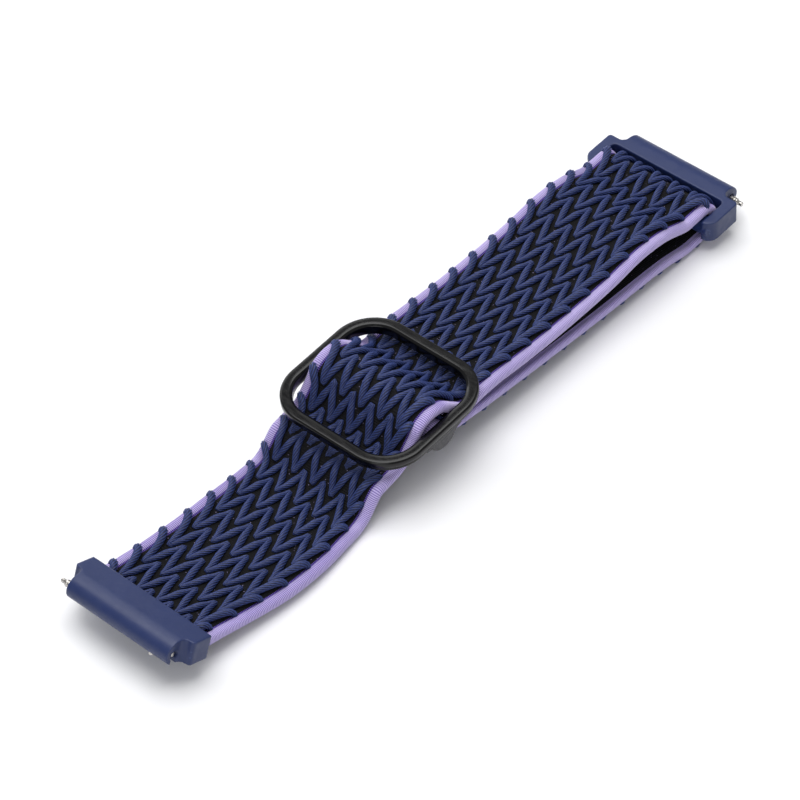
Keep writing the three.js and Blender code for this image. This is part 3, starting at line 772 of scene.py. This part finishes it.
# ---------------------------------------------------------------- slider
def ring_section():
    """The frame's section as rows of how far inside its outer edge, and height above its top."""
    bevel = 0.42
    step = 0.95
    groove = 0.12
    inset = 0.3
    corners = []
    for turn in np.linspace(90, 180, 7):
        angle = math.radians(turn)
        corners.append((bevel + bevel * math.cos(angle), -bevel + bevel * math.sin(angle)))
    lower = -SLIDER_HEIGHT + step
    corners += [
        (0.0, lower + 0.12),
        (0.05, lower + 0.04),
        (inset + groove, lower),
        (inset + groove, lower - 0.08),
        (inset, lower - 0.16),
        (inset, -SLIDER_HEIGHT + 0.3),
        (inset + 0.1, -SLIDER_HEIGHT + 0.09),
        (inset + 0.32, -SLIDER_HEIGHT),
        (SLIDER_RAIL - 0.32, -SLIDER_HEIGHT),
        (SLIDER_RAIL - 0.1, -SLIDER_HEIGHT + 0.09),
        (SLIDER_RAIL, -SLIDER_HEIGHT + 0.3),
        (SLIDER_RAIL, -0.5),
        (SLIDER_RAIL - 0.03, -0.3),
        (SLIDER_RAIL - 0.14, -0.2),
        (SLIDER_RAIL - 0.3, -0.14),
        (SLIDER_RAIL - 0.4, -0.03),
        (SLIDER_RAIL - 0.52, 0.0),
    ]
    return np.array(corners)


def rounded_loop(inside, per_corner=24):
    """Points round the frame's outline, that far inside it, as X and Y rows, with the same count."""
    half_length = SLIDER_LENGTH / 2
    half_width = STRAP_WIDTH / 2 + GAP + SLIDER_RAIL
    radius = SLIDER_CORNER - inside
    rows = []
    for quarter in range(4):
        sign_x = 1 if quarter in (0, 3) else -1
        sign_y = 1 if quarter in (0, 1) else -1
        x = sign_x * (half_length - SLIDER_CORNER)
        y = sign_y * (half_width - SLIDER_CORNER)
        for turn in np.linspace(0, 90, per_corner):
            angle = math.radians(quarter * 90 + turn)
            rows.append((x + radius * math.cos(angle), y + radius * math.sin(angle)))
    return np.array(rows)


def slider_ring():
    section = ring_section()
    loops = np.stack([rounded_loop(inside) for inside, _ in section], 1)
    heights = np.broadcast_to(section[:, 1], loops.shape[:2])
    rings = slider.turn(loops[..., 0], loops[..., 1], heights)
    piece = skin("slider_ring", [rings], [GLOSS], ring=True)
    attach(piece, "slider")
    return piece


def ear_outline():
    """The ear's rim from one side of the rail round its foot to the other side."""
    underside = -SLIDER_HEIGHT
    middle = EAR_RADIUS - EAR_DROP
    fillet_z = underside - EAR_FILLET
    reach = EAR_RADIUS + EAR_FILLET
    fillet_x = math.sqrt(reach**2 - (fillet_z - middle) ** 2)
    turn = math.atan2(middle - fillet_z, fillet_x)
    left = [
        (-fillet_x + EAR_FILLET * math.cos(a), fillet_z + EAR_FILLET * math.sin(a))
        for a in np.linspace(math.pi / 2, turn, 8)
    ]
    foot = [
        (EAR_RADIUS * math.cos(a), middle + EAR_RADIUS * math.sin(a))
        for a in np.linspace(math.pi + turn, 2 * math.pi - turn, 26)[1:-1]
    ]
    right = [(-x, z) for x, z in reversed(left)]
    return np.array([(-fillet_x, underside + 0.4), *left, *foot, *right, (fillet_x, underside + 0.4)])


def slider_ear(side):
    """A satin plate with eased rims, from the rail's inner face outwards."""
    outline = ear_outline()
    middle = outline.mean(0)
    inner = STRAP_WIDTH / 2 + GAP
    outer = inner + SLIDER_RAIL - 0.3
    layers = [(0.0, 0.3), (0.03, 0.12), (0.12, 0.03), (0.3, 0.0)]
    depths = [(inner + depth, shrink) for depth, shrink in layers]
    depths += [(outer - depth, shrink) for depth, shrink in reversed(layers)]
    sections = []
    for across, shrink in depths:
        toward = middle - outline
        toward /= np.linalg.norm(toward, axis=1)[:, None]
        eased = outline + toward * shrink
        sections.append(slider.turn(eased[:, 0], side * across, eased[:, 1]))
    sections = np.array(sections if side < 0 else sections[::-1])
    piece = skin("slider_ear_near" if side < 0 else "slider_ear_far", [sections], [SATIN])
    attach(piece, "slider")
    return piece


# ---------------------------------------------------------------- turned steel
def turned(name, profile, x, z, body, node, segments=40):
    """A lathe-turned piece along Y. profile holds radius and Y in millimetres, from -Y to +Y."""
    around = np.linspace(0, 2 * math.pi, segments, endpoint=False)
    rings = [
        np.stack(
            [x + radius * np.cos(around), np.full(segments, y), z + radius * np.sin(around)], -1
        )
        for radius, y in profile
    ]
    piece = skin(name, [np.array(rings)], [STEEL])
    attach(piece, body)
    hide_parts(node)
    return piece


def tip_profile(node, outwards, shoulder):
    """A spring bar tip: plug in the tube, shoulder, and the pin that seats in the lug."""
    low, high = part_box(node)
    start, end = (low[1] / MM, high[1] / MM) if outwards > 0 else (high[1] / MM, low[1] / MM)
    pin, plug = PIN_RADIUS, PLUG_RADIUS
    pin_length, shoulder_length, round_over = 1.0, 0.9, 0.12
    shoulder_start = abs(end - start) - pin_length - shoulder_length
    rows = [(plug, 0), (plug, shoulder_start - 0.02), (shoulder, shoulder_start)]
    rows += [(shoulder, shoulder_start + 0.34), (shoulder - 0.07, shoulder_start + 0.4)]
    rows += [(shoulder - 0.07, shoulder_start + 0.48), (shoulder, shoulder_start + 0.54)]
    total = shoulder_start + shoulder_length
    rows += [(shoulder, total - round_over), (shoulder - 0.04, total - 0.03)]
    rows += [(shoulder - round_over, total), (pin, total)]
    for turn in np.linspace(0, 90, 5):
        angle = math.radians(turn)
        lift = round_over * (math.sin(angle) - 1)
        rows.append((pin - round_over * (1 - math.cos(angle)), total + pin_length + lift))
    profile = [(radius, start + outwards * y) for radius, y in rows]
    return profile if outwards > 0 else profile[::-1]


def coil(bar, body):
    """The spring in a bar's tube, copied from its CAD node in steel."""
    node = bar + "_spring"
    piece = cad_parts[node].copy()
    piece.data = piece.data.copy()
    piece.name = node + "_coil"
    piece.parent = None
    bpy.context.scene.collection.objects.link(piece)
    piece.data.materials.clear()
    piece.data.materials.append(STEEL)
    piece.data.polygons.foreach_set("use_smooth", [True] * len(piece.data.polygons))
    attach(piece, body)
    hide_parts(node)
    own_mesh(piece)


def spring_bar(bar, body, release_body, release_side):
    x, z = centre_of(bar + "_tube")
    for kind, owner, side, shoulder in (
        ("_fixed_tip", body, -release_side, SHOULDER_RADIUS),
        ("_release_tip", release_body, release_side, PLUG_RADIUS),
    ):
        node = bar + kind
        turned(node + "_turned", tip_profile(node, side, shoulder), x, z, owner, node)
    coil(bar, body)


# ---------------------------------------------------------------- stage
def stage():
    mesh = bpy.data.meshes.new("floor")
    reach = 1.5
    corners = [(-reach, -reach, 0), (reach, -reach, 0), (reach, reach, 0), (-reach, reach, 0)]
    mesh.from_pydata(corners, [], [(0, 1, 2, 3)])
    mesh.materials.append(pale_floor())
    floor = bpy.data.objects.new("floor", mesh)
    bpy.context.scene.collection.objects.link(floor)


def lamp(name, place, size, power, aim=(0, 0, 0)):
    """A soft square light aimed at a point."""
    data = bpy.data.lights.new(name, "AREA")
    data.size = size
    data.energy = power
    light = bpy.data.objects.new(name, data)
    light.location = place
    light.rotation_mode = "QUATERNION"
    light.rotation_quaternion = (Vector(aim) - Vector(place)).to_track_quat("-Z", "Y")
    bpy.context.scene.collection.objects.link(light)


def lights():
    lamp("overhead", (0.05, 0.1, 0.7), 0.6, 4.6)
    lamp("left_fill", (-0.6, -0.25, 0.35), 0.4, 1.1)
    lamp("back_rim", (0.25, 0.6, 0.35), 0.5, 1.6)
    world = bpy.data.worlds.new("studio")
    world.use_nodes = True
    world.node_tree.nodes["Background"].inputs["Color"].default_value = (0.93, 0.94, 0.96, 1)
    world.node_tree.nodes["Background"].inputs["Strength"].default_value = 0.42
    bpy.context.scene.world = world
    bpy.context.scene.view_settings.view_transform = "Standard"


# Degrees round and above the band and about the line of sight, then metres.
CAM_AZIMUTH, CAM_ELEVATION, CAM_ROLL = -47.79, 45.15, -1.44
CAM_DISTANCE = 0.594
CAM_TARGET = (-0.00416, 0.0008, 0.00399)
CAM_LENS, CAM_SENSOR = 162, 36


def camera():
    """A long lens at the height and side that the band is seen from."""
    azimuth, elevation = math.radians(CAM_AZIMUTH), math.radians(CAM_ELEVATION)
    roll = math.radians(CAM_ROLL)
    back = Vector(
        (
            math.sin(azimuth) * math.cos(elevation),
            -math.cos(azimuth) * math.cos(elevation),
            math.sin(elevation),
        )
    )
    data = bpy.data.cameras.new("camera")
    data.lens = CAM_LENS
    data.sensor_width = CAM_SENSOR
    data.clip_start = 0.05
    view = bpy.data.objects.new("camera", data)
    view.rotation_mode = "QUATERNION"
    turned_to = (-back).to_track_quat("-Z", "Y") @ Matrix.Rotation(roll, 3, "Z").to_quaternion()
    view.rotation_quaternion = turned_to
    view.location = Vector(CAM_TARGET) + back * CAM_DISTANCE
    bpy.context.scene.collection.objects.link(view)
    bpy.context.scene.camera = view


# ---------------------------------------------------------------- build
camera()
lights()
stage()
weave_strap()
softened("fixed_connector", "fixed_connector_moulded", "base")
softened("loop_connector", "loop_connector_moulded", "loop_connector")
ring = slider_ring()
slider_ear(-1)
slider_ear(1)
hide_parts("slider_frame")
spring_bar("fixed_bar", "fixed_bar", "fixed_bar_release", -1)
spring_bar("loop_bar", "loop_bar", "loop_bar_release", 1)

for node_name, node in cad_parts.items():
    if node.hide_render:
        continue
    node.data.materials.clear()
    if "seam" in node_name:
        node.data.materials.append(THREAD)
    elif "strap" in node_name:
        node.data.materials.append(ELASTIC)
    else:
        node.data.materials.append(STEEL)
